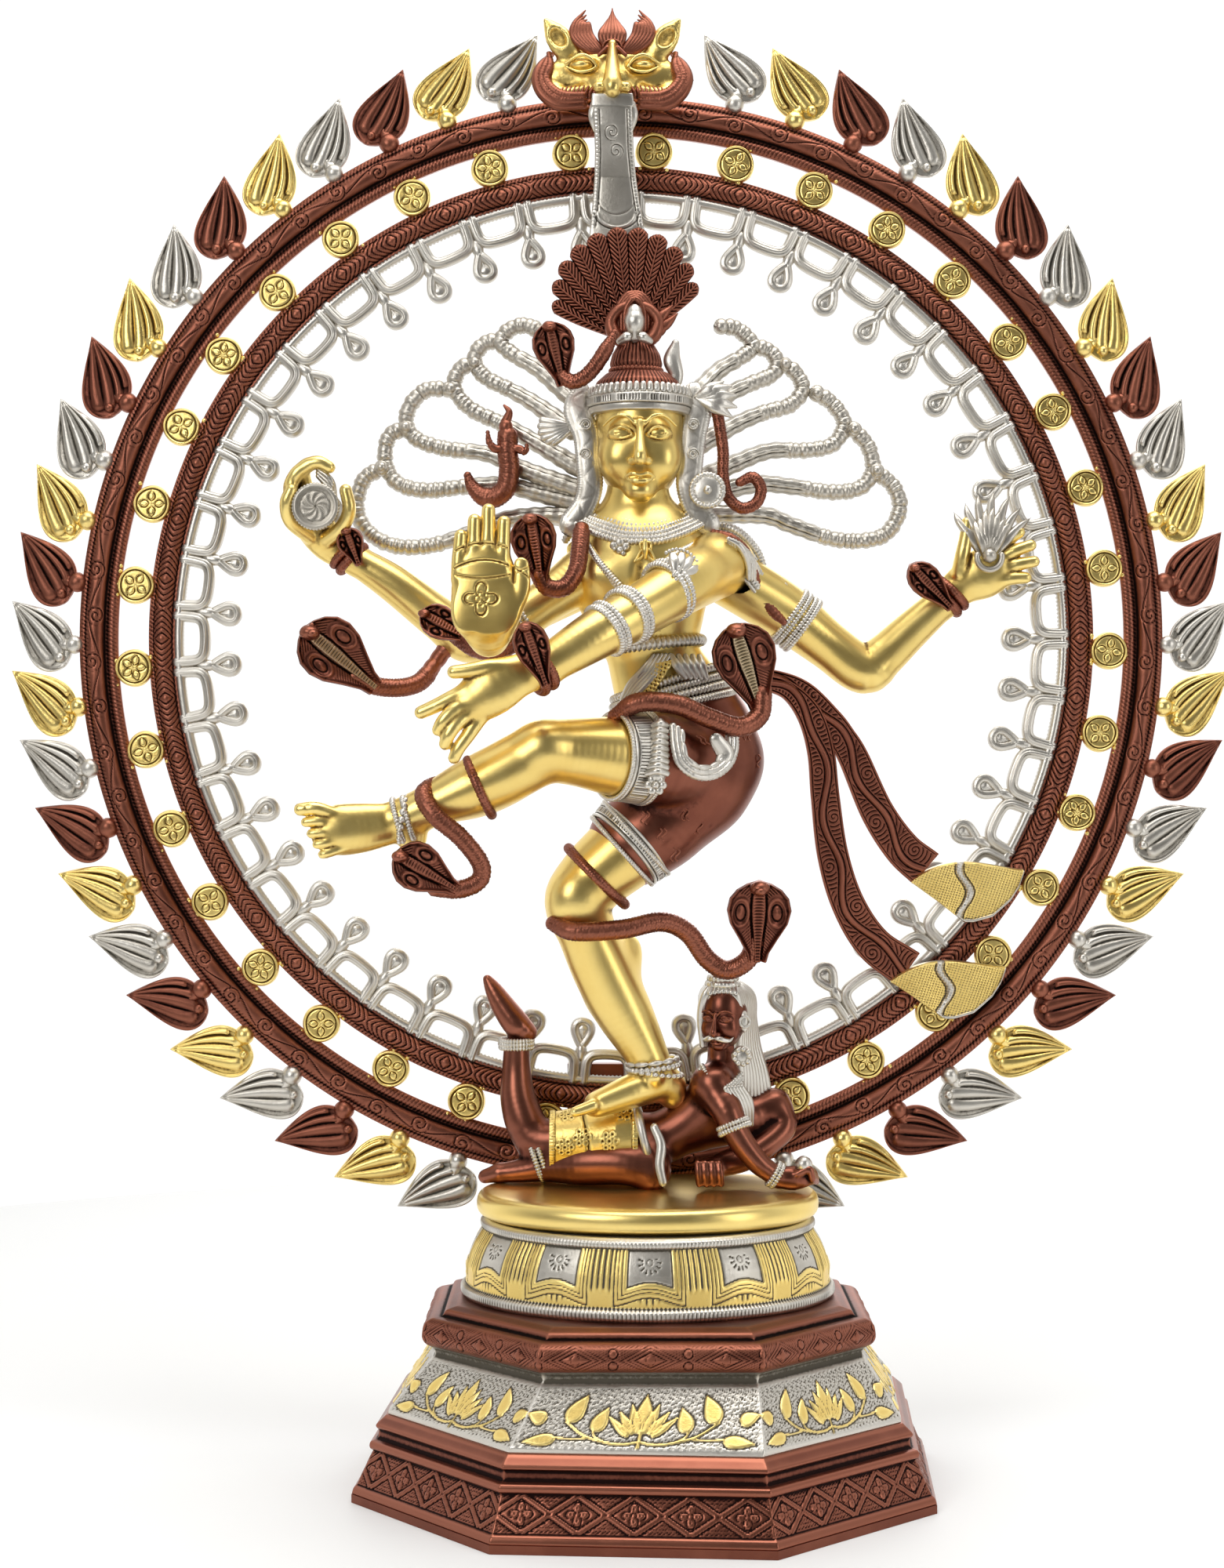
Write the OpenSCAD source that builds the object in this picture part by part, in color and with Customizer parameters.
// Standing dancer statue in a ring of flames, cast in brass pieces that are brazed and bolted together.
// Millimetres, +Z up, the viewer in front looks along +Y. The origin is the centre of the base's underside.

/* [Base] */
// Half width of the foot slab, side to side
foot_half_w = 171; // [165:1:178]
// Half depth of the foot slab, front to back
foot_half_d = 157; // [152:1:162]
// How far each corner of the foot slab is cut back along its sides
foot_cut = 92; // [86:1:96]
// Thickness of the foot slab
foot_t = 5; // [4:0.5:6]
// How far the lower castings are turned clockwise against the rest, in degrees
base_turn = 3.7; // [0:0.1:5]
// Wall thickness of the hollow base castings
wall = 5; // [4:0.5:6]
// Height of the top of the gold plinth
plinth_top = 176; // [174:1:177]
// Half width of the gold plinth
plinth_half_w = 104; // [100:1:106]
// Half depth of the gold plinth
plinth_half_d = 80; // [76:1:82]

/* [Flame ring] */
// Sideways place of the ring's centre
ring_x = -16; // [-17:1:-15]
// How far behind the dancer the ring stands
ring_y = 60; // [58:1:62]
// Height of the ring's centre
ring_z = 514; // [513:1:516]
// Mean radius of the outer band's tube
outer_band_r = 333; // [332:0.5:334]
// Mean radius of the inner band's tube
inner_band_r = 290; // [289:0.5:291]
// Radius of a rosette
rosette_r = 12; // [11.5:0.5:12.5]
// Number of rosettes around the ring
rosette_count = 37; // [33:1:38]
// Number of open loops in the inner fringe
loop_count = 49; // [45:1:51]
// Radius of the circle that the flame balls stand on
flame_ball_r = 346; // [345:0.5:347]
// Radius of a flame's large ball
flame_ball = 6.3; // [6:0.1:6.6]
// Length of a flame along its middle line, from foot to tip
flame_length = 52.9; // [51:0.1:54]
// Angle from one flame to the next, in degrees
flame_step = 6.55; // [6.4:0.05:6.6]

/* [Fasteners] */
// Radius of the tie rod through the base
rod_r = 5; // [4:0.5:6]
// Radius of the bracket bolts
bolt_r = 3; // [2.5:0.5:3.5]
// Radius of the bottom plate's screws
screw_r = 2.5; // [2:0.5:3]

/* [Hidden] */
gold = [0.83, 0.64, 0.22];
copper = [0.45, 0.22, 0.16];
silver = [0.72, 0.70, 0.66];

// Heights between which the turn of the lower castings fades out
frieze_foot = 50;
frieze_top = 86;
// Levels of the base castings from the floor up, each [height, inset from the foot slab's outline]
lower_levels = [[5, 0.5], [10, 3], [30, 12.5], [30.5, 10.5], [35, 10.5], [36.5, 15], [42, 15.5], [42.5, 14],
  [46, 15], [50, 19.5]];
frieze_levels = [[50, 20.5], [53, 20.5], [83, 43], [86, 45], [89, 44], [91, 41.5]];
upper_levels = [[91, 41], [94, 38.5], [100, 37.5], [105, 39.5], [107, 43], [107.5, 49], [111, 51],
  [113, 58]];
upper_inner = [[90, 46], [105, 46], [107.5, 54]];
// Levels of the oval pieces, each [height, half width, half depth]
cushion_levels = [[113, 111, 90], [115, 113.5, 92], [119, 113.5, 92], [121, 110, 89], [132, 110, 89],
  [146, 105, 86.5], [154, 100, 83.5], [155, 101.5, 85], [158, 101.5, 85], [160, 98, 82]];
cushion_inner = [[108, 104, 83], [132, 104, 83], [153, 92, 75]];
plinth_levels = [[160, 97, 74], [162, 102, 78], [165, plinth_half_w, plinth_half_d],
  [171, plinth_half_w, plinth_half_d], [174.5, plinth_half_w - 2, plinth_half_d - 2],
  [plinth_top, plinth_half_w - 6, plinth_half_d - 6]];

// Routes of the figure's limbs, each point [x, y, z, radius]
torso_route = [[27, 8, 438, 22], [24, 8, 448, 34], [16, 6, 470, 34], [7, 2, 490, 29], [2, 0, 510, 30],
  [-2, -1, 532, 38], [-4, 0, 550, 43], [-5, 3, 564, 38], [-6, 4, 574, 26]];
neck_route = [[-6, 4, 568, 21], [-7, 3, 585, 19], [-6, 1, 600, 19], [-5, 0, 612, 18]];
head_route = [[-5, -12, 592, 6], [-5, -8, 596, 15], [-5, -5, 606, 22], [-5, -4, 620, 27], [-5, -2, 636, 29],
  [-5, 0, 652, 28.5], [-5, 1, 662, 24], [-5, 1, 668, 12]];
standing_leg_route = [[27, 6, 430, 27], [8, 2, 400, 27], [-16, -2, 380, 24], [-36, -5, 362, 22],
  [-42, -6, 350, 21], [-36, -3, 332, 18], [-26, -1, 308, 19], [-14, 0, 284, 18], [-2, 3, 258, 14],
    [6, 4, 243, 12]];
standing_foot_route = [[14, 6, 240, 8], [8, 3, 240, 11], [-6, -3, 236, 10], [-22, -11, 231, 9],
  [-34, -17, 228, 7],
  [-41, -20, 226, 3]];
raised_leg_route = [[28, -4, 434, 26], [6, -26, 436, 24], [-16, -38, 438, 23], [-43, -52, 440, 19],
  [-62, -58, 439, 19], [-86, -59, 428, 18], [-104, -60, 420, 16], [-124, -61, 411, 13],
    [-146, -62, 401, 11]];
raised_foot_route = [[-142, -62, 400, 11], [-156, -64, 398, 12.5], [-172, -67, 396, 14.5],
  [-184, -70, 395, 16],
  [-194, -72, 394, 13]];
arm_drum_route = [[-39, 10, 548, 16], [-66, 20, 532, 13], [-92, 24, 519, 13], [-112, 25, 513, 15],
  [-130, 24, 525, 13], [-157, 20, 546, 11.5], [-183, 18, 562, 9]];
drum_hand_route = [[-183, 18, 562, 9], [-198, 14, 572, 12], [-208, 10, 588, 13], [-209, 8, 603, 10],
  [-203, 6, 614, 5]];
arm_blessing_route = [[-40, 0, 548, 15], [-60, -8, 534, 13], [-84, -16, 518, 13], [-92, -32, 512, 13],
  [-94, -52, 514, 12]];
blessing_palm_route = [[-94, -56, 508, 12], [-94, -60, 520, 18], [-96, -61, 534, 20], [-97, -61, 548, 18]];
arm_crossing_route = [[46, -2, 556, 17], [25, -34, 543, 17], [-2, -58, 526, 15], [-31, -76, 509, 14],
  [-62, -86, 489, 11]];
crossing_hand_route = [[-62, -86, 489, 11], [-76, -89, 484, 12], [-92, -90, 477, 16], [-104, -90, 468, 13]];
arm_fire_route = [[52, 8, 548, 17], [84, 19, 529, 17], [114, 24, 507, 14.5], [136, 25, 492, 15],
  [158, 24, 511, 12],
  [184, 22, 536, 10]];
fire_hand_route = [[184, 22, 536, 10], [196, 21, 547, 12], [207, 20, 553, 15], [216, 19, 557, 13]];

// Curls of hair beside the head, from the tip of each curl in to the neck, one radius for all
left_curls = [
  [[-65, 26, 702], [-75, 30, 707], [-85, 32, 705], [-91, 32, 697], [-83, 30, 689], [-67, 26, 679],
    [-50, 18, 660]],
  [[-91, 33, 698], [-100, 34, 697], [-106, 34, 691], [-107, 34, 684], [-100, 33, 675], [-85, 30, 667],
    [-70, 26, 658], [-52, 18, 638]],
  [[-108, 34, 684], [-116, 35, 681], [-120, 35, 672], [-117, 34, 663], [-107, 33, 654], [-90, 30, 646],
    [-71, 26, 635], [-46, 18, 617]],
  [[-124, 35, 668], [-137, 36, 668], [-147, 36, 659], [-150, 36, 647], [-143, 35, 637], [-126, 33, 631],
    [-99, 30, 627], [-74, 26, 616], [-42, 18, 603]],
  [[-150, 36, 643], [-159, 37, 641], [-163, 37, 632], [-162, 37, 619], [-154, 36, 609], [-137, 34, 605],
    [-114, 32, 607], [-90, 30, 608], [-66, 26, 602], [-38, 18, 594]],
  [[-165, 37, 619], [-176, 38, 613], [-181, 38, 598], [-178, 38, 585], [-168, 37, 575], [-153, 36, 570],
    [-133, 34, 571], [-110, 32, 578], [-89, 30, 586], [-66, 26, 588], [-36, 16, 586]]];
right_curls = [
  [[46, 28, 706], [56, 31, 705], [66, 32, 695], [58, 30, 687], [44, 26, 678], [28, 18, 660]],
  [[66, 33, 695], [76, 34, 692], [81, 34, 685], [78, 33, 677], [65, 30, 671], [49, 26, 663], [30, 18, 648]],
  [[86, 34, 683], [93, 35, 678], [97, 35, 668], [89, 33, 658], [73, 30, 653], [55, 26, 645], [32, 18, 630]],
  [[106, 35, 666], [116, 36, 659], [123, 36, 647], [116, 35, 634], [100, 33, 630], [76, 30, 629],
    [55, 26, 621],
    [30, 18, 608]],
  [[129, 36, 643], [138, 37, 633], [141, 37, 618], [133, 36, 607], [115, 34, 604], [90, 31, 607],
    [66, 28, 608],
    [30, 18, 598]],
  [[143, 37, 617], [154, 38, 608], [158, 38, 594], [150, 38, 579], [135, 36, 574], [115, 34, 575],
    [90, 31, 583],
    [71, 28, 589], [28, 16, 588]]];
curl_r = 4.6;
// How far the bottom plate's screws stand in from its sides
screw_inset = 63;

// The directions of a regular polygon's corners, in degrees
function turn(sides) = [for (k = [0:sides - 1]) 360 * k / sides];
function unit(v) = v / norm(v);
function place(p) = [p[0], p[1], p[2]];

// One octagon of the base, counter-clockwise from above. The turn fades out up to the upper casting.
function octagon(z, inset) =
  let (
    a = foot_half_w - inset,
    b = foot_half_d - inset,
    c = foot_cut - 0.586 * inset,
    t = -base_turn * max(0, min(1, (frieze_top - z) / (frieze_top - frieze_foot))),
    corners = [[a, c - b], [a, b - c], [a - c, b], [c - a, b], [-a, b - c], [-a, c - b],
      [c - a, -b], [a - c, -b]]
  )
  [for (p = corners) [p[0] * cos(t) - p[1] * sin(t), p[0] * sin(t) + p[1] * cos(t), z]];
function oval(z, a, b, sides = 64) = [for (t = turn(sides)) [a * cos(t), b * sin(t), z]];

// The cross-section of a swept limb at point i, square to the route. Squash flattens it front to back.
function section(route, i, sides, squash, side) =
  let (
    here = place(route[i]),
    ahead = unit(place(route[min(i + 1, len(route) - 1)]) - place(route[max(i - 1, 0)])),
    u = unit(cross(ahead, side)),
    v = cross(ahead, u),
    r = route[i][3]
  )
  [for (t = turn(sides)) here + r * (cos(t) * u + squash * sin(t) * v)];

// A closed skin over a stack of rings with equal numbers of points
module skin(rings) {
  n = len(rings[0]);
  last = (len(rings) - 1) * n;
  bands = [for (i = [0:len(rings) - 2], k = [0:n - 1]) [i * n + k, i * n + n + k, i * n + n + (k + 1) % n,
    i * n + (k + 1) % n]];
  polyhedron(
    points = [for (ring = rings) each ring],
    faces = concat([[for (k = [0:n - 1]) k]], [for (b = bands) [b[0], b[1], b[2]]],
      [for (b = bands) [b[0], b[2], b[3]]], [[for (k = [n - 1:-1:0]) last + k]]));
}

// A limb swept along a route of [x, y, z, radius] points
module limb(route, sides = 10, squash = 1, side = [0, 1, 0]) {
  skin([for (i = [0:len(route) - 1]) section(route, i, sides, squash, side)]);
}

// A cord of one radius along a route of [x, y, z] points
module cord(route, r, sides = 8) {
  limb([for (p = route) [p[0], p[1], p[2], r]], sides);
}

// A snake's body along a route, thinner at its tail end
module snake(route, r, sides = 8) {
  last = len(route) - 1;
  limb([for (i = [0:last]) [route[i][0], route[i][1], route[i][2], r * min(1, 0.6 + 2 * i / last)]], sides);
}

// A spread cobra hood from its neck up to its head
module hood(base, tip, width) {
  span = tip - base;
  shape = [[0, 0.3], [0.25, 0.55], [0.5, 0.95], [0.7, 1], [0.85, 0.8], [1, 0.3]];
  limb([for (s = shape) let (p = base + s[0] * span) [p[0], p[1], p[2], s[1] * width / 2]], 10, 0.32);
}

// A raised bead band around a limb: centre, direction of the limb, radius of the limb
module band(centre, ahead, r, thick = 2.5, squash = 1) {
  w = unit(ahead);
  limb([for (s = [-1, -0.6, 0.6, 1]) let (p = centre + s * thick * w)
    [p[0], p[1], p[2], r + (abs(s) < 1 ? 2.2 : 0.8)]], 14, squash);
}

// Joins the overlapping pieces of one casting into a single skin
module cast() {
  resize([0, 0, 0]) union() children();
}

// Puts a drawing on the ring's plane: its X is the world's X, its Y is up, and it grows towards the front
module on_ring() {
  translate([ring_x, ring_y, ring_z]) rotate([90, 0, 0]) children();
}

module base_shell(levels) {
  last = len(levels) - 1;
  difference() {
    skin([for (l = levels) octagon(l[0], l[1])]);
    skin([for (i = [0:last]) octagon(levels[i][0] + (i == 0 ? -1 : i == last ? 1 : 0),
      levels[i][1] + wall)]);
  }
}

module foot_slab() {
  color(copper) difference() {
    linear_extrude(foot_t) polygon([for (p = octagon(0, 0)) [p[0], p[1]]]);
    plate_screw_places() translate([0, 0, -1]) cylinder(r = screw_r, h = foot_t + 2, $fn = 24);
    plate_screw_places() translate([0, 0, -1]) cylinder(r = 2 * screw_r, h = 3.5, $fn = 24);
  }
}

module plate_screw_places() {
  rotate([0, 0, -base_turn]) for (sx = [-1, 1], sy = [-1, 1]) {
    translate([sx * (foot_half_w - screw_inset), sy * (foot_half_d - screw_inset), 0]) children();
  }
}

module pedestal_lower() {
  color(copper) {
    base_shell(lower_levels);
    difference() {
      plate_screw_places() translate([0, 0, foot_t]) cylinder(r = 14, h = 14, $fn = 32);
      plate_screw_places() cylinder(r = screw_r, h = 16, $fn = 24);
    }
  }
}

module lotus_frieze() {
  color(silver) base_shell(frieze_levels);
}

module pedestal_upper() {
  color(copper) difference() {
    skin([for (l = upper_levels) octagon(l[0], l[1])]);
    skin([for (l = upper_inner) octagon(l[0], l[1])]);
    cylinder(r = rod_r + 0.5, h = 120, $fn = 32);
  }
}

module lotus_cushion() {
  color(silver) difference() {
    skin([for (l = cushion_levels) oval(l[0], l[1], l[2])]);
    skin([for (l = cushion_inner) oval(l[0], l[1], l[2])]);
    cylinder(r = rod_r + 0.5, h = 170, $fn = 32);
  }
}

module plinth() {
  color(gold) difference() {
    skin([for (l = plinth_levels) oval(l[0], l[1], l[2])]);
    translate([0, 0, 150]) cylinder(r = rod_r, h = 20, $fn = 32);
    translate([-120, ring_y - 8, 150]) cube([240, 60, 40]);
  }
}

module tie_rod() {
  color("dimgray") translate([0, 0, 22]) cylinder(r = rod_r, h = 148, $fn = 32);
}

module hex_nut(z) {
  difference() {
    translate([0, 0, z]) cylinder(r = 1.9 * rod_r, h = 8, $fn = 6);
    translate([0, 0, z - 1]) cylinder(r = rod_r, h = 10, $fn = 32);
  }
}

module tie_nuts() {
  color("dimgray") {
    hex_nut(24);
    hex_nut(98);
  }
}

module tie_bar() {
  color("dimgray") difference() {
    translate([-150, -15, 32]) cube([300, 30, 6]);
    cylinder(r = rod_r + 0.5, h = 60, $fn = 32);
  }
}

module plate_screws() {
  color("dimgray") plate_screw_places() {
    translate([0, 0, 0.5]) cylinder(r = 2 * screw_r - 0.4, h = 2, $fn = 24);
    translate([0, 0, 2]) cylinder(r = screw_r, h = 13, $fn = 24);
  }
}

module bracket_bolt_places() {
  for (a = [-93.5, -86.5]) on_ring() rotate(a) translate([outer_band_r, 0, 0]) children();
  for (a = [-94, -86]) on_ring() rotate(a) translate([inner_band_r, 0, 0]) children();
}

module ring_bracket() {
  color(copper) difference() {
    union() {
      translate([ring_x - 34, ring_y + 6, 160]) cube([68, 8, 84]);
      translate([ring_x - 34, ring_y - 4, 160]) cube([68, 18, 8]);
    }
    bracket_bolt_places() translate([0, 0, -20]) cylinder(r = bolt_r, h = 40, $fn = 24);
  }
}

module bracket_bolts() {
  color("dimgray") bracket_bolt_places() {
    translate([0, 0, -18]) cylinder(r = bolt_r, h = 18, $fn = 24);
    translate([0, 0, -18]) cylinder(r = 1.8 * bolt_r, h = 4, $fn = 6);
  }
}

// A ring band: a round tube between two bead rims on a flat web
module ring_band(tube_r, tube, inner, outer, web = 3) {
  difference() {
    on_ring() rotate_extrude($fn = 180) union() {
      translate([inner, -web]) square([outer - inner, 2 * web]);
      translate([tube_r, 0]) circle(r = tube, $fn = 40);
      translate([inner + 2, 0]) circle(r = 4, $fn = 24);
      translate([outer - 2, 0]) circle(r = 4, $fn = 24);
    }
    bracket_bolt_places() translate([0, 0, -20]) cylinder(r = bolt_r, h = 20, $fn = 24);
  }
}

module outer_band() {
  color(copper) ring_band(outer_band_r, 6.5, 319.5, 341);
}

module inner_band() {
  color(copper) ring_band(inner_band_r, 6.5, 282, 297.5);
}

module rosettes() {
  color(gold) for (k = [0:rosette_count - 1]) {
    on_ring() rotate(91 + (k + 0.5) * 360 / rosette_count) translate([308.5, 0, -3]) {
      cylinder(r = rosette_r, h = 7, $fn = 40);
      cylinder(r = rosette_r - 3, h = 8.5, $fn = 40);
    }
  }
}

// The inner fringe: a rim of open loops, with a pendant drop hanging inwards between each two of them.
// The hole and drop outlines are lists of [share of a step sideways, radius].
module fringe() {
  step = 360 / loop_count;
  hole = [[-0.33, 262], [-0.24, 260.5], [0.24, 260.5], [0.33, 262], [0.34, 275], [0.25, 277], [-0.25, 277],
    [-0.34, 275]];
  drop = [[-0.1, 257.5], [-0.07, 254], [-0.13, 249], [-0.12, 244.5], [-0.06, 242], [0, 241.4], [0.06, 242],
    [0.12, 244.5], [0.13, 249], [0.07, 254], [0.1, 257.5], [0.5, 258]];
  outline = [for (k = [0:loop_count - 1], p = drop) let (a = (k + p[0]) * step) p[1] * [cos(a), sin(a)]];
  holes = [for (k = [0:loop_count - 1]) [for (p = hole) let (a = (k + 0.5 + p[0]) * step) p[1] * [cos(a), sin(a)]]];
  rim = [for (k = [0:2 * loop_count - 1]) let (a = k * step / 2) 280 * [cos(a), sin(a)]];
  color(silver) {
    on_ring() translate([0, 0, -3]) linear_extrude(6) polygon(
      points = concat(rim, outline, [for (h = holes) each h]),
      paths = concat([[for (i = [0:len(rim) - 1]) i]],
        [[for (i = [0:len(outline) - 1]) len(rim) + i]],
        [for (h = [0:loop_count - 1]) [for (i = [0:7]) len(rim) + len(outline) + 8 * h + i]]));
    on_ring() rotate_extrude($fn = 180) translate([280, 0]) circle(r = 3.6, $fn = 24);
  }
}

// A point of a flame's outline at share t of its length, on the left (-1) or right (1) of its middle line.
// The leaf leans 44 degrees from the outward direction Y towards the ring's top, X.
function flame_edge(t, side) =
  let (
    along = flame_length * t - 4.4,
    across = 7 * pow(1 - t, 1.5) + side * 16.5 * sin(180 * pow(t, 0.6))
  )
  [0.691 * along - 0.722 * across - 4.5, 0.722 * along + 0.691 * across + 4];

function flame_outline() =
  let (n = 9)
  concat([for (i = [0:n]) flame_edge(i / n, -1)], [for (i = [n - 1:-1:1]) flame_edge(i / n, 1)]);

// Places the flames of one colour on both sides of the ring, numbered from the top down
module flames(right_side, left_side) {
  for (side = [1, -1]) for (k = side == 1 ? right_side : left_side) {
    on_ring() rotate(90 - side * (12 + (k - 1) * flame_step)) translate([flame_ball_r, 0, 0]) rotate(-90) {
      mirror([side == 1 ? 1 : 0, 0, 0]) {
        translate([0, 0, -3]) linear_extrude(6) polygon(flame_outline());
        translate([-8.2, 9, 3]) sphere(r = 3, $fn = 24);
      }
      sphere(r = flame_ball, $fn = 32);
      translate([-3, -10, -3]) cube([6, 14, 6]);
    }
  }
}

module flames_silver() {
  color(silver) flames([1, 4, 7, 10, 13, 16, 18, 21, 24], [1, 4, 7, 10, 13, 15, 18, 21, 24]);
}

module flames_gold() {
  color(gold) flames([2, 5, 8, 11, 14, 17, 20, 23], [2, 5, 8, 11, 14, 17, 20, 23]);
}

module flames_copper() {
  color(copper) flames([3, 6, 9, 12, 15, 19, 22], [3, 6, 9, 12, 16, 19, 22]);
}

module lion_mask() {
  color(gold) cast() {
    translate([-20, 44, 868]) scale([1.5, 0.6, 1]) sphere(r = 26, $fn = 12);
    limb([[-20, 20, 848, 9], [-20, 24, 858, 10], [-20, 30, 872, 7], [-20, 34, 884, 5]], 10);
    for (s = [-1, 1]) {
      translate([-20 + s * 20, 29, 872]) sphere(r = 8, $fn = 10);
      limb([[-20 + s * 36, 40, 882, 8], [-20 + s * 42, 37, 894, 9], [-20 + s * 49, 36, 905, 3]], 8, 0.6);
    }
  }
}

module lion_mane() {
  color(copper) cast() {
    for (s = [-1, 1]) {
      limb([[-20 + s * 44, 46, 888, 5], [-20 + s * 52, 42, 870, 8], [-20 + s * 44, 38, 850, 9],
        [-20 + s * 26, 36, 840, 9], [-20 + s * 12, 36, 846, 6]], 8);
      limb([[-20 + s * 4, 44, 882, 9], [-20 + s * 16, 43, 892, 12], [-20 + s * 25, 43, 906, 6],
        [-20 + s * 22, 43, 912, 1.5]], 8, 0.6);
    }
    limb([[-20, 43, 880, 12], [-20, 42, 896, 12], [-20, 43, 908, 5], [-20, 43, 915, 1.5]], 8, 0.6);
  }
}

module tongue_strap() {
  color(silver) cast() {
    limb([[-19, 32, 852, 17], [-19, 30, 835, 14], [-18, 38, 800, 16], [-17, 40, 765, 19],
      [-16, 40, 745, 20]], 8, 0.25);
    limb([[-18, 38, 806, 5], [-18, 52, 806, 6], [-18, 60, 806, 8]], 8, 1, [0, 0, 1]);
  }
}

module dwarf_body() {
  color(copper) cast() {
    limb([[-88, 22, 182, 7], [-61, 18, 187, 12], [-32, 8, 190, 14], [2, 4, 190, 14]], 10);
    limb([[-58, 4, 188, 10], [-32, -2, 192, 13], [-6, -2, 196, 14], [4, 2, 188, 13], [2, 4, 181, 5]], 10);
    limb([[-68, 24, 188, 12], [-75, 24, 204, 13], [-82, 26, 226, 11.5], [-84, 28, 248, 10],
      [-83, 28, 264, 9]], 10);
    limb([[-74, 27, 262, 6], [-82, 27, 268, 9], [-91, 28, 280, 7], [-96, 28, 291, 5],
      [-99, 28, 298, 3]], 8);
    limb([[-46, 16, 202, 17], [-17, 16, 202, 19], [7, 14, 203, 18], [26, 12, 212, 17], [42, 12, 228, 18],
      [50, 14, 242, 9]], 12);
    limb([[26, 18, 205, 17], [54, 18, 214, 17], [78, 24, 220, 12]], 10);
    limb([[36, 4, 236, 11], [46, -8, 225, 10], [54, -12, 209, 8], [70, -14, 192, 7], [80, -13, 184, 6],
      [90, -12, 182, 8], [98, -11, 181, 5]], 10);
    limb([[76, 28, 226, 9], [82, 22, 209, 8], [60, 14, 192, 8], [42, 6, 187, 7.5], [32, 4, 185, 6]], 8);
    limb([[48, 14, 240, 8], [46, 10, 256, 9]], 10);
    translate([84, -12, 176]) cylinder(r = 12, h = 4, $fn = 12);
  }
}

module dwarf_head() {
  color(copper) limb([[45, 2, 252, 8], [43, 1, 259, 13], [42, 2, 270, 15.5], [43, 4, 282, 16],
    [45, 6, 292, 10]], 12);
}

module dwarf_hair() {
  color(silver) cast() {
    limb([[46, 8, 299, 7], [50, 12, 293, 16], [54, 15, 282, 18], [57, 18, 268, 16], [62, 22, 252, 12],
      [68, 26, 236, 7]], 10);
    translate([51, 8, 299]) cylinder(r = 9, h = 8, $fn = 12);
  }
}

module dwarf_cloth() {
  color(gold) cast() {
    limb([[-62, 18, 203, 16], [-40, 16, 207, 19], [-20, 14, 207, 21], [-6, 15, 205, 21]], 12);
  }
}

module dwarf_jewellery() {
  color(silver) cast() {
    band([-4, 15, 204], [1, 0, 0], 20, 3);
    band([-69, 22, 186], [1, 0, 0.4], 12, 3);
    band([-84, 28, 249], [0, 0, 1], 10, 3);
    band([54, -12, 212], [0.4, 0, -1], 8, 3);
    band([80, -13, 184], [1, 0, -0.5], 6, 2.5);
    limb([[50, 2, 246, 6], [56, 2, 234, 9], [62, 6, 222, 9], [64, 8, 212, 4]], 8, 0.6);
  }
}

module torso() {
  color(gold) cast() {
    limb(torso_route, 14, 0.72);
    limb([[-42, 8, 548, 14], [-24, 5, 555, 18], [14, 4, 558, 19], [50, 8, 550, 17]], 12, 0.9);
    limb(neck_route, 14, 0.95);
  }
}

module head() {
  color(gold) cast() {
    limb(head_route, 16, 1.05);
    limb([[-5, -36, 615, 5], [-5, -34, 622, 3.5], [-5, -31, 634, 2.5]], 8);
  }
}

module hair_cap() {
  color(copper) cast() {
    limb([[-6, 2, 655, 28], [-6, 2, 664, 25], [-6, 2, 672, 19], [-7, 2, 674, 15]], 16, 0.95);
    limb([[-7, 2, 672, 13], [-7, 2, 678, 15], [-8, 2, 688, 11], [-8, 2, 692, 9]], 14, 0.95);
    for (s = [-1, 1]) limb([[-8 + s * 6, -2, 688, 4], [-8 + s * 13, -4, 694, 4.5],
      [-8 + s * 14, -4, 704, 3.5],
      [-8 + s * 6, -4, 712, 3]], 8);
  }
}

module crown_band() {
  color(silver) cast() {
    limb([[-5, 0, 649, 30], [-5, 0, 651, 33], [-5, 0, 659, 32], [-5, 0, 663, 29]], 24, 0.95);
    limb([[-45, 4, 660, 6], [-44, 2, 645, 8], [-38, -4, 634, 7], [-38, -8, 615, 6],
      [-36, -8, 598, 7], [-42, 0, 584, 9],
      [-48, 6, 575, 8]], 10);
    limb([[-62, 8, 640, 7], [-52, 6, 638, 8], [-42, 2, 634, 6]], 10);
    limb([[28, 0, 655, 6], [29, -4, 640, 7], [27, -8, 620, 7], [30, -6, 606, 6]], 10);
    limb([[30, 4, 658, 7], [40, 6, 656, 10], [48, 6, 650, 8], [40, 4, 640, 6]], 10, 0.6);
    translate([36, -4, 599]) rotate([90, 0, 0]) cylinder(r = 11, h = 6, $fn = 12);
    limb([[-8, -8, 695, 5], [-8, -9, 703, 7], [-8, -8, 708, 4]], 10);
    limb([[20, 4, 664, 4], [18, 4, 674, 4], [15, 4, 682, 6], [17, 4, 691, 3]], 8);
  }
}

// A fan of eleven feathers with rounded tips
module plume() {
  feathers = 11;
  spread = 104;
  edge = [for (k = [0:feathers - 1], j = [-0.5, -0.3, 0,
    0.3]) let (a = 93 + spread * ((k + j) / (feathers - 1) - 0.5),
    r = 66 - 5 * abs(j) * 2 - 0.03 * pow(k - 5, 2)) r * [cos(a), sin(a)]];
  color(copper) translate([-9, 10, 700]) rotate([90, 0, 0]) {
    linear_extrude(5) polygon(concat([[9, -8], [14, 4]], edge, [[-14, 4], [-9, -8]]));
  }
}

module hair_fan_left() {
  color(silver) cast() for (c = left_curls) cord(c, curl_r);
}

module hair_fan_right() {
  color(silver) cast() for (c = right_curls) cord(c, curl_r);
}

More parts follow.
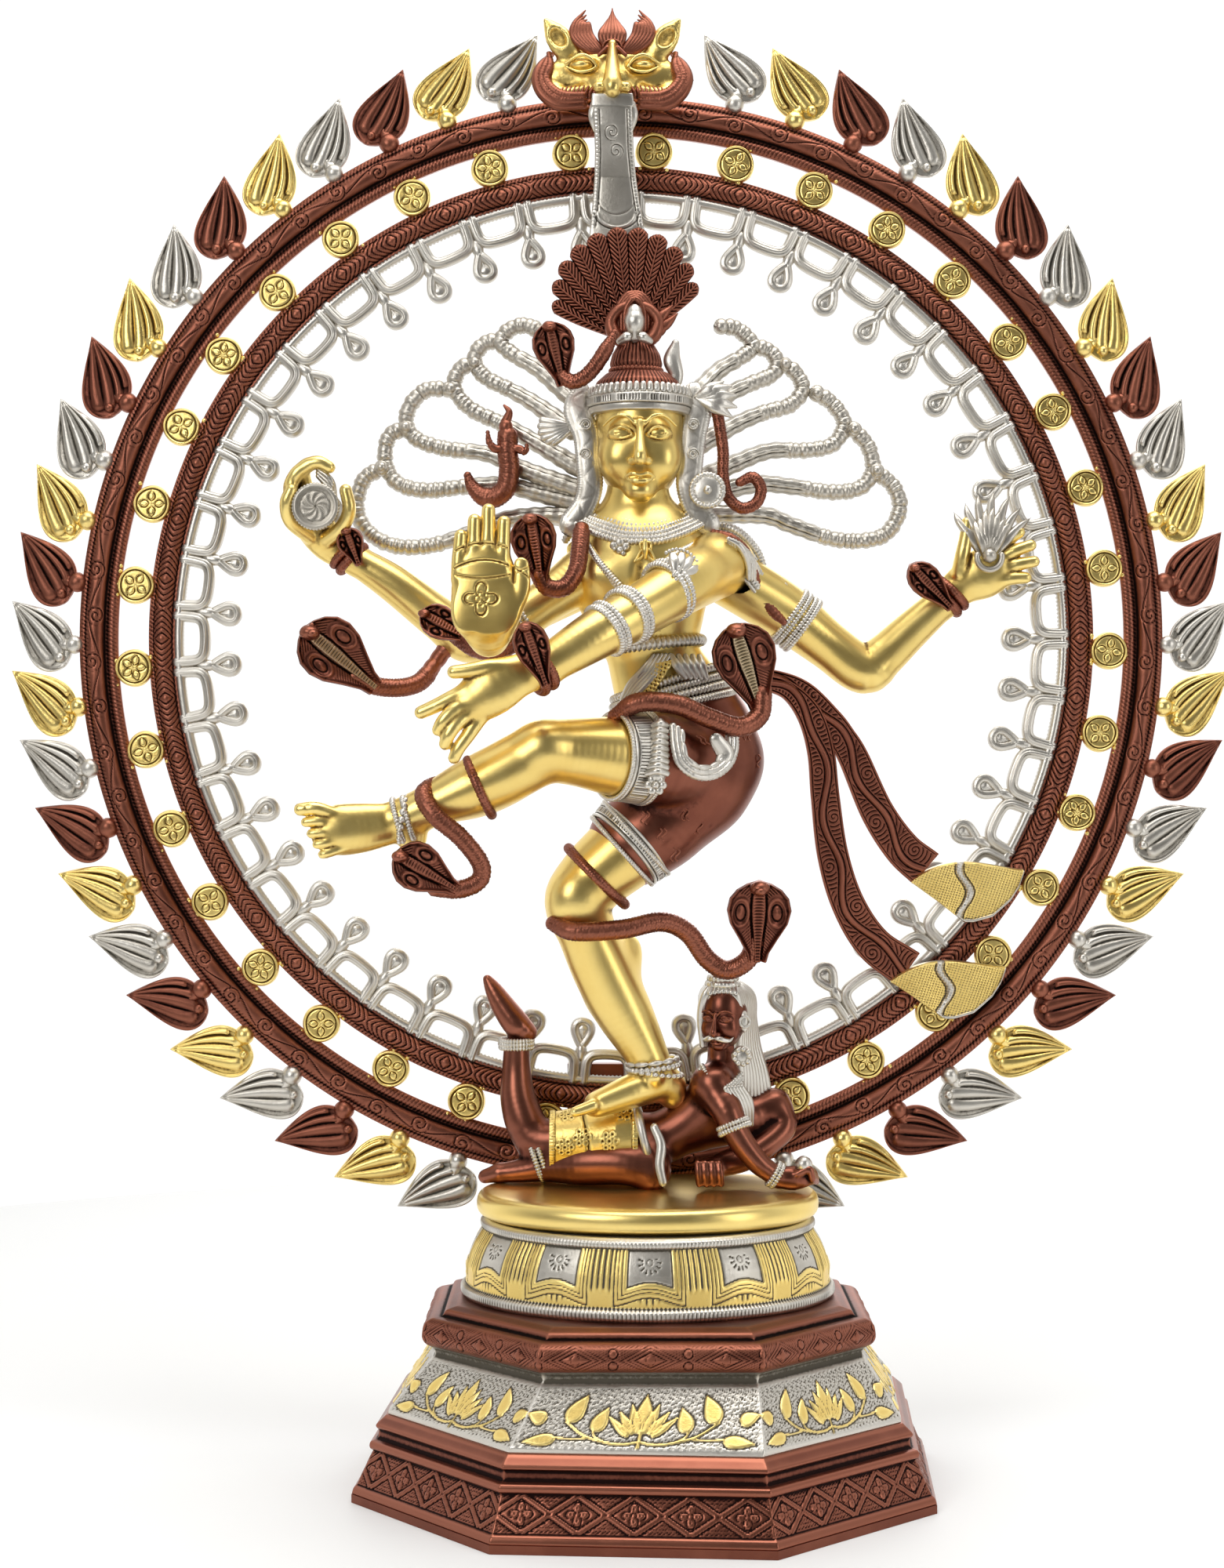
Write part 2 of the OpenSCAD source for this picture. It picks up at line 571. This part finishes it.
module mermaid() {
  color(copper) cast() {
    limb([[-87, 22, 645, 3], [-86, 21, 638, 5], [-86, 21, 628, 6.5], [-85, 22, 616, 6], [-86, 23, 606, 5],
      [-93, 24, 599, 4.5], [-101, 25, 600, 4], [-107, 25, 605, 3.5], [-111, 25, 611, 2]], 8);
    for (s = [-1, 1]) limb([[-86, 21, 622, 4], [-86 + s * 9, 21, 624, 3],
      [-86 + s * 13, 21, 629 - 4 * (s + 1), 2]], 6);
  }
}

module standing_leg() {
  color(gold) cast() {
    limb(standing_leg_route, 12);
    limb(standing_foot_route, 10, 0.9);
  }
}

module raised_leg() {
  color(gold) cast() {
    limb(raised_leg_route, 12);
    limb(raised_foot_route, 10, 0.55);
    for (k = [0:4]) limb([[-190 + 2 * k, -72, 404 - 5.5 * k, 3.4], [-199 + 3 * k, -74, 404 - 6 * k, 3.6],
      [-205 + 4 * k, -74, 403 - 6.5 * k, 2.4]], 6);
  }
}

module shorts() {
  color(copper) cast() {
    limb([[30, 8, 414, 20], [27, 8, 426, 38], [24, 8, 442, 44], [20, 7, 456, 41],
      [14, 6, 466, 33]], 14, 0.8);
    limb([[32, 0, 432, 28], [8, -24, 436, 27.5], [-6, -32, 438, 26]], 12);
    limb([[30, 6, 424, 28], [10, 2, 402, 29], [-8, 0, 388, 27]], 12);
  }
}

module belt() {
  color(silver) cast() {
    band([1, 0, 506], [-0.1, 0, 1], 31, 3.5, 0.74);
    band([12, 4, 478], [-0.35, 0, 1], 33, 6, 0.76);
    band([-13, -36, 438], [-1, -0.6, 0.1], 24.5, 4);
    band([-12, -2, 384], [-1, 0, -0.75], 25.5, 4);
    cord([[6, -52, 452], [10, -54, 432], [20, -53, 422], [42, -45, 424], [52, -38, 440],
      [50, -36, 454]], 4.5);
    cord([[2, -54, 450], [2, -56, 436], [4, -56, 424]], 6);
  }
}

module necklaces() {
  color(silver) cast() {
    limb([[-38, 8, 586, 7], [-30, -10, 580, 7], [-18, -22, 573, 7.5], [-6, -26, 570, 8], [8, -22, 573, 7.5],
      [22, -10, 580, 7], [30, 8, 586, 7]], 8);
    cord([[-38, -10, 566], [-28, -22, 550], [-16, -26, 538], [-6, -26, 530]], 2.4);
    cord([[30, -8, 566], [18, -20, 556], [4, -26, 548]], 2.4);
    cord([[34, 4, 572], [52, -6, 566], [66, 2, 556], [72, 8, 548]], 3);
    cord([[58, 14, 572], [68, 12, 562], [70, 8, 550]], 3);
    limb([[-14, -28, 538, 3], [-10, -29, 533, 5], [-4, -28, 531, 3]], 8);
  }
}

module finger(a, b, r) {
  limb([[a[0], a[1], a[2], r], [(a[0] + b[0]) / 2, (a[1] + b[1]) / 2, (a[2] + b[2]) / 2, r * 1.02],
    [b[0], b[1], b[2], r * 0.62]], 6);
}

module arm_drum() {
  color(gold) cast() {
    limb(arm_drum_route, 12);
    limb(drum_hand_route, 10, 0.6);
    finger([-210, 4, 596], [-214, -6, 604], 4.5);
    finger([-205, 2, 602], [-196, -8, 610], 4.5);
    finger([-190, 4, 578], [-178, -4, 592], 4.5);
    finger([-186, 6, 584], [-180, -4, 600], 4);
  }
}

module arm_blessing() {
  color(gold) cast() {
    limb(arm_blessing_route, 12, 1, [0, 0, 1]);
    limb(blessing_palm_route, 12, 0.42);
    finger([-111, -61, 544], [-110, -62, 568], 4.6);
    finger([-103, -61, 548], [-102, -62, 577], 4.4);
    finger([-95, -61, 549], [-94, -62, 583], 4.4);
    finger([-87, -61, 547], [-85, -62, 576], 4.4);
    finger([-80, -60, 524], [-76, -62, 546], 4.4);
  }
}

module arm_crossing() {
  color(gold) cast() {
    limb(arm_crossing_route, 12);
    limb(crossing_hand_route, 10, 0.5);
    finger([-92, -90, 486], [-114, -92, 480], 4);
    finger([-100, -90, 474], [-128, -92, 462], 3.6);
    finger([-104, -90, 468], [-120, -94, 456], 3.8);
    finger([-103, -90, 464], [-115, -94, 448], 3.8);
    finger([-98, -90, 460], [-112, -92, 441], 3.6);
  }
}

module arm_fire() {
  color(gold) cast() {
    limb(arm_fire_route, 12);
    limb(fire_hand_route, 10, 0.5);
    finger([190, 20, 554], [196, 18, 583], 4.2);
    finger([212, 19, 564], [231, 18, 575], 4);
    finger([215, 19, 559], [235, 18, 567], 4);
    finger([215, 19, 553], [235, 18, 559], 4);
    finger([212, 19, 547], [230, 18, 551], 3.8);
  }
}

module drum() {
  color(silver) {
    translate([-201, 12, 590]) rotate([90, 0, 0]) {
      cylinder(r = 11, h = 20, $fn = 32);
      cylinder(r1 = 10, r2 = 14.5, h = 22, $fn = 40);
    }
    translate([-201, 26, 592]) rotate([90, 0, 0]) cylinder(r = 14, h = 16, $fn = 40);
  }
}

module palm_flame() {
  color(silver) cast() {
    for (k = [-2:2]) limb([[209, 12, 558, 3], [209 + 5 * k, 12, 572 - abs(k), 4],
      [209 + 7.5 * k, 12, 588 - 2 * abs(k), 3], [209 + 7 * k, 12, 600 - 3 * abs(k), 1]], 6);
    translate([210, 12, 562]) sphere(r = 7, $fn = 10);
  }
}

module snake_crown() {
  color(copper) cast() {
    snake([[-24, -14, 690], [-28, -18, 682], [-33, -20, 672], [-39, -20, 666], [-46, -20, 665],
      [-53, -18, 671]], 4.6);
    hood([-52, -18, 664], [-60, -24, 698], 26);
  }
}

module snake_shoulder() {
  color(copper) cast() {
    snake([[-44, -24, 570], [-42, -30, 556], [-47, -34, 543], [-57, -36, 540], [-65, -38, 547]], 5);
    hood([-64, -38, 542], [-70, -46, 580], 27);
  }
}

module snake_elbow() {
  color(copper) cast() {
    snake([[-82, -26, 508], [-90, -36, 502], [-102, -30, 501], [-112, -20, 506], [-120, -16, 514]], 5);
    hood([-104, -20, 508], [-134, -22, 524], 20);
  }
}

module snake_side() {
  color(copper) cast() {
    snake([[-116, 20, 512], [-126, 22, 505], [-131, 22, 498], [-136, 16, 488], [-148, 8, 482],
      [-165, 2, 482],
      [-177, -2, 486]], 5.5);
    hood([-168, 0, 482], [-206, -16, 514], 38);
  }
}

module snake_wrist() {
  color(copper) cast() {
    band([-63, -86, 488], [-1, -0.4, -0.7], 11, 3);
    band([-72, -89, 485], [-1, -0.2, -0.3], 11.5, 3);
    hood([-60, -100, 478], [-73, -106, 512], 20);
  }
}

module snake_waist() {
  color(copper) cast() {
    snake([[-18, -48, 464], [-4, -52, 470], [18, -50, 468], [38, -44, 459], [54, -38, 456], [66, -32, 463],
      [69, -30, 476]], 6);
    hood([69, -30, 466], [50, -38, 516], 38);
  }
}

module snake_raised_leg() {
  color(copper) cast() {
    band([-99, -61, 420], [-0.9, 0, -0.4], 16.5, 3);
    snake([[-120, -46, 418], [-128, -66, 421], [-131, -76, 414], [-122, -79, 402], [-108, -76, 390],
      [-97, -72, 374],
      [-100, -70, 364], [-112, -72, 361], [-126, -74, 363]], 5.4);
    hood([-112, -74, 362], [-146, -84, 380], 30);
  }
}

module snake_standing_leg() {
  color(copper) cast() {
    band([-30, -4, 366], [-0.8, 0, -0.8], 23, 3);
    snake([[-56, -20, 336], [-42, -28, 334], [-14, -24, 335], [14, -14, 338], [28, -8, 328], [38, -4, 314],
      [50, -4, 309], [60, -8, 316], [66, -10, 330]], 6);
    hood([66, -10, 316], [67, -20, 362], 38);
  }
}

module snake_fire_wrist() {
  color(copper) cast() {
    band([184, 22, 536], [0.7, 0, 0.7], 10, 3);
    band([191, 21, 543], [0.7, 0, 0.7], 11, 3);
    hood([182, 12, 530], [162, 4, 555], 18);
    band([-183, 18, 562], [-0.7, 0, 0.7], 9.5, 4);
    hood([-178, 6, 560], [-184, 2, 574], 14);
  }
}

module snake_ear() {
  color(copper) snake([[36, 6, 640], [43, 4, 640], [47, 3, 630], [47, 2, 614], [48, 0, 600],
    [56, -2, 588], [66, -2, 592],
    [69, -1, 602], [63, 0, 608], [54, 1, 605]], 3.6);
}

module armlets() {
  color(silver) cast() {
    band([12, -44, 536], [-1, -1, -0.6], 17, 3.5);
    band([-16, -66, 518], [-1, -0.6, -0.6], 15.5, 3.5);
    band([-80, -14, 520], [-1, -0.4, -0.6], 13, 3);
    band([97, 21, 520], [1, 0, -0.8], 16, 3);
    band([131, 25, 494], [1, 0, -0.2], 15, 2);
    limb([[18, -56, 541, 4], [26, -52, 547, 12], [34, -44, 550, 10], [40, -34, 552, 4]], 10, 0.5);
    limb([[52, -8, 562, 5], [58, -8, 552, 7], [60, -8, 545, 4]], 8, 0.6);
  }
}

module anklets() {
  color(silver) cast() {
    band([-140, -62, 402], [-1, 0, -0.3], 11.5, 3);
    band([-148, -63, 401], [-1, 0, -0.1], 11.5, 2);
    band([5, 4, 247], [0.5, 0, -1], 12.5, 3);
  }
}

// A flat sash swept along a route of [x, y, z, half width], thin from front to back
module sash_upper() {
  color(copper) cast() {
    limb([[64, 10, 482, 6], [85, 18, 478, 7], [104, 26, 464, 10], [120, 31, 436, 11], [136, 37, 408, 12],
      [158, 42, 382, 12], [178, 46, 364, 14]], 8, 0.3);
  }
  color(gold) limb([[172, 46, 368, 15], [188, 48, 362, 20], [204, 50, 354, 19],
    [222, 51, 346, 12]], 8, 0.22);
}

module sash_lower() {
  color(copper) cast() {
    limb([[84, 16, 478, 6], [98, 24, 462, 8], [105, 30, 424, 9], [117, 34, 386, 11], [131, 39, 350, 12],
      [148, 43, 322, 12], [168, 47, 302, 13]], 8, 0.3);
  }
  color(gold) limb([[160, 47, 306, 14], [176, 49, 298, 19], [194, 51, 290, 18],
    [210, 52, 284, 12]], 8, 0.22);
}

foot_slab();
pedestal_lower();
lotus_frieze();
pedestal_upper();
lotus_cushion();
plinth();
tie_rod();
tie_nuts();
tie_bar();
plate_screws();
ring_bracket();
bracket_bolts();
outer_band();
inner_band();
rosettes();
fringe();
flames_silver();
flames_gold();
flames_copper();
lion_mask();
lion_mane();
tongue_strap();
dwarf_body();
dwarf_head();
dwarf_hair();
dwarf_cloth();
dwarf_jewellery();
torso();
head();
hair_cap();
crown_band();
plume();
hair_fan_left();
hair_fan_right();
mermaid();
standing_leg();
raised_leg();
shorts();
belt();
necklaces();
arm_drum();
arm_blessing();
arm_crossing();
arm_fire();
drum();
palm_flame();
snake_crown();
snake_shoulder();
snake_elbow();
snake_side();
snake_wrist();
snake_waist();
snake_raised_leg();
snake_standing_leg();
snake_fire_wrist();
snake_ear();
armlets();
anklets();
sash_upper();
sash_lower();
